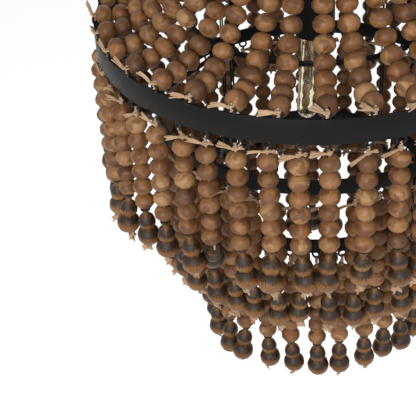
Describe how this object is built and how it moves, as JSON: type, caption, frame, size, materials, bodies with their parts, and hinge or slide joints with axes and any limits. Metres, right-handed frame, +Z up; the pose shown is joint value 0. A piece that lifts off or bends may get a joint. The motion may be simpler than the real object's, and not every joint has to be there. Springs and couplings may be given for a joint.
{
  "type": "beaded chandelier",
  "caption": "Chandelier of stacked iron rings under a crown, dressed with strands of round wooden beads and gourd-shaped end beads on jute, with a clear bulb on the axis and a chain to a canopy",
  "frame": {"origin": "centre of the canopy, in the plane of the ceiling that the bracket and the canopy rim lie against; the whole object hangs below it", "axes": "+Z up along the chandelier's axis; -Y is the side that the picture looks at, +X to its right"},
  "size_m": [0.5118, 0.5118, 0.7944],
  "materials": {
    "black_iron": "matt black paint on iron, glossier on the wires",
    "bead_wood": "turned wood beads, satin, mid brown, on pale jute twine",
    "burnt_wood": "turned wood with burnt dark zones on the gourd beads, satin",
    "zinc_steel": "zinc plated steel",
    "brass": "plain brass",
    "bakelite": "black moulded insulator",
    "clear_glass": "clear blown glass"
  },
  "bodies": {
    "ceiling": {"ceiling_bracket": "zinc_steel", "canopy": "black_iron", "canopy_nipple": "zinc_steel", "canopy_collar": "black_iron", "canopy_loop": "black_iron"},
    "link_1": {"chain_link_1": "black_iron"},
    "link_2": {"chain_link_2": "black_iron"},
    "link_3": {"chain_link_3": "black_iron"},
    "fixture": {"fixture_loop": "black_iron", "top_hub": "black_iron", "crown_cross": "black_iron", "crown_ring": "black_iron", "main_ring": "black_iron", "inner_frame": "black_iron", "middle_ring": "black_iron", "lower_ring": "black_iron", "draped_strands_1": "bead_wood", "draped_strands_2": "bead_wood", "draped_strands_3": "bead_wood", "draped_strands_4": "bead_wood", "draped_strands_5": "bead_wood", "draped_strands_6": "bead_wood", "draped_strands_7": "bead_wood", "draped_strands_8": "bead_wood", "stem": "zinc_steel", "hub_nut_upper": "black_iron", "hub_nut_lower": "black_iron", "housing_nut": "zinc_steel", "lamp_housing": "black_iron", "lamp_holder": "bakelite", "centre_contact": "brass", "screw_shell": "brass"},
    "bulb": {"bulb_cap": "brass", "bulb_glass": "clear_glass", "bulb_stem": "clear_glass"},
    "main_fringe_1": {"main_strands_1": "bead_wood"},
    "main_fringe_2": {"main_strands_2": "bead_wood"},
    "main_fringe_3": {"main_strands_3": "bead_wood"},
    "main_fringe_4": {"main_strands_4": "bead_wood"},
    "main_fringe_5": {"main_strands_5": "bead_wood"},
    "main_fringe_6": {"main_strands_6": "bead_wood"},
    "main_fringe_7": {"main_strands_7": "bead_wood"},
    "main_fringe_8": {"main_strands_8": "bead_wood"},
    "middle_fringe_1": {"middle_strands_1": "burnt_wood"},
    "middle_fringe_2": {"middle_strands_2": "burnt_wood"},
    "middle_fringe_3": {"middle_strands_3": "burnt_wood"},
    "middle_fringe_4": {"middle_strands_4": "burnt_wood"},
    "middle_fringe_5": {"middle_strands_5": "burnt_wood"},
    "middle_fringe_6": {"middle_strands_6": "burnt_wood"},
    "middle_fringe_7": {"middle_strands_7": "burnt_wood"},
    "lower_fringe_1": {"lower_strands_1": "burnt_wood"},
    "lower_fringe_2": {"lower_strands_2": "burnt_wood"},
    "lower_fringe_3": {"lower_strands_3": "burnt_wood"},
    "lower_fringe_4": {"lower_strands_4": "burnt_wood"},
    "lower_fringe_5": {"lower_strands_5": "burnt_wood"},
    "lower_fringe_6": {"lower_strands_6": "burnt_wood"}
  },
  "joints": [
    {"name": "chain_swing_1", "type": "hinge", "parent": "ceiling", "child": "link_1", "pos_m": [0, 0, -0.0636], "axis": [1, 0, 0], "range_deg": [-15, 15]},
    {"name": "chain_swing_2", "type": "hinge", "parent": "link_1", "child": "link_2", "pos_m": [0, 0, -0.0927], "axis": [0, 1, 0], "range_deg": [-15, 15]},
    {"name": "chain_swing_3", "type": "hinge", "parent": "link_2", "child": "link_3", "pos_m": [0, 0, -0.1223], "axis": [1, 0, 0], "range_deg": [-15, 15]},
    {"name": "chain_swing_4", "type": "hinge", "parent": "link_3", "child": "fixture", "pos_m": [0, 0, -0.1519], "axis": [0, 1, 0], "range_deg": [-15, 15]},
    {"name": "bulb_turn", "type": "hinge", "parent": "fixture", "child": "bulb", "pos_m": [0, 0, -0.345], "axis": [0, 0, 1], "continuous": true},
    {"name": "main_swing_1", "type": "hinge", "parent": "fixture", "child": "main_fringe_1", "pos_m": [0.09605, -0.22249, -0.396], "axis": [-0.9181, -0.3963, 0], "range_deg": [-3, 30]},
    {"name": "main_swing_2", "type": "hinge", "parent": "fixture", "child": "main_fringe_2", "pos_m": [0.22524, -0.08941, -0.396], "axis": [-0.3689, -0.9295, 0], "range_deg": [-3, 30]},
    {"name": "main_swing_3", "type": "hinge", "parent": "fixture", "child": "main_fringe_3", "pos_m": [0.22249, 0.09605, -0.396], "axis": [0.3963, -0.9181, 0], "range_deg": [-3, 30]},
    {"name": "main_swing_4", "type": "hinge", "parent": "fixture", "child": "main_fringe_4", "pos_m": [0.08941, 0.22524, -0.396], "axis": [0.9295, -0.3689, 0], "range_deg": [-3, 30]},
    {"name": "main_swing_5", "type": "hinge", "parent": "fixture", "child": "main_fringe_5", "pos_m": [-0.09605, 0.22249, -0.396], "axis": [0.9181, 0.3963, 0], "range_deg": [-3, 30]},
    {"name": "main_swing_6", "type": "hinge", "parent": "fixture", "child": "main_fringe_6", "pos_m": [-0.22524, 0.08941, -0.396], "axis": [0.3689, 0.9295, 0], "range_deg": [-3, 30]},
    {"name": "main_swing_7", "type": "hinge", "parent": "fixture", "child": "main_fringe_7", "pos_m": [-0.22249, -0.09605, -0.396], "axis": [-0.3963, 0.9181, 0], "range_deg": [-3, 30]},
    {"name": "main_swing_8", "type": "hinge", "parent": "fixture", "child": "main_fringe_8", "pos_m": [-0.08941, -0.22524, -0.396], "axis": [-0.9295, 0.3689, 0], "range_deg": [-3, 30]},
    {"name": "middle_swing_1", "type": "hinge", "parent": "fixture", "child": "middle_fringe_1", "pos_m": [0.08033, -0.16377, -0.497], "axis": [-0.8978, -0.4404, 0], "range_deg": [-1, 15]},
    {"name": "middle_swing_2", "type": "hinge", "parent": "fixture", "child": "middle_fringe_2", "pos_m": [0.17812, -0.0393, -0.497], "axis": [-0.2155, -0.9765, 0], "range_deg": [-1, 15]},
    {"name": "middle_swing_3", "type": "hinge", "parent": "fixture", "child": "middle_fringe_3", "pos_m": [0.14178, 0.11476, -0.497], "axis": [0.6291, -0.7773, 0], "range_deg": [-1, 15]},
    {"name": "middle_swing_4", "type": "hinge", "parent": "fixture", "child": "middle_fringe_4", "pos_m": [-0.00132, 0.1824, -0.497], "axis": [1, 0.0072, 0], "range_deg": [-1, 15]},
    {"name": "middle_swing_5", "type": "hinge", "parent": "fixture", "child": "middle_fringe_5", "pos_m": [-0.14343, 0.11269, -0.497], "axis": [0.6178, 0.7863, 0], "range_deg": [-1, 15]},
    {"name": "middle_swing_6", "type": "hinge", "parent": "fixture", "child": "middle_fringe_6", "pos_m": [-0.17753, -0.04187, -0.497], "axis": [-0.2296, 0.9733, 0], "range_deg": [-1, 15]},
    {"name": "middle_swing_7", "type": "hinge", "parent": "fixture", "child": "middle_fringe_7", "pos_m": [-0.07795, -0.16491, -0.497], "axis": [-0.9041, 0.4274, 0], "range_deg": [-1, 15]},
    {"name": "lower_swing_1", "type": "hinge", "parent": "fixture", "child": "lower_fringe_1", "pos_m": [0.05886, -0.12508, -0.61], "axis": [-0.9048, -0.4258, 0], "range_deg": [-1, 15]},
    {"name": "lower_swing_2", "type": "hinge", "parent": "fixture", "child": "lower_fringe_2", "pos_m": [0.13776, -0.01157, -0.61], "axis": [-0.0837, -0.9965, 0], "range_deg": [-1, 15]},
    {"name": "lower_swing_3", "type": "hinge", "parent": "fixture", "child": "lower_fringe_3", "pos_m": [0.0789, 0.11352, -0.61], "axis": [0.8211, -0.5707, 0], "range_deg": [-1, 15]},
    {"name": "lower_swing_4", "type": "hinge", "parent": "fixture", "child": "lower_fringe_4", "pos_m": [-0.05886, 0.12508, -0.61], "axis": [0.9048, 0.4258, 0], "range_deg": [-1, 15]},
    {"name": "lower_swing_5", "type": "hinge", "parent": "fixture", "child": "lower_fringe_5", "pos_m": [-0.13776, 0.01157, -0.61], "axis": [0.0837, 0.9965, 0], "range_deg": [-1, 15]},
    {"name": "lower_swing_6", "type": "hinge", "parent": "fixture", "child": "lower_fringe_6", "pos_m": [-0.0789, -0.11352, -0.61], "axis": [-0.8211, 0.5707, 0], "range_deg": [-1, 15]}
  ]
}
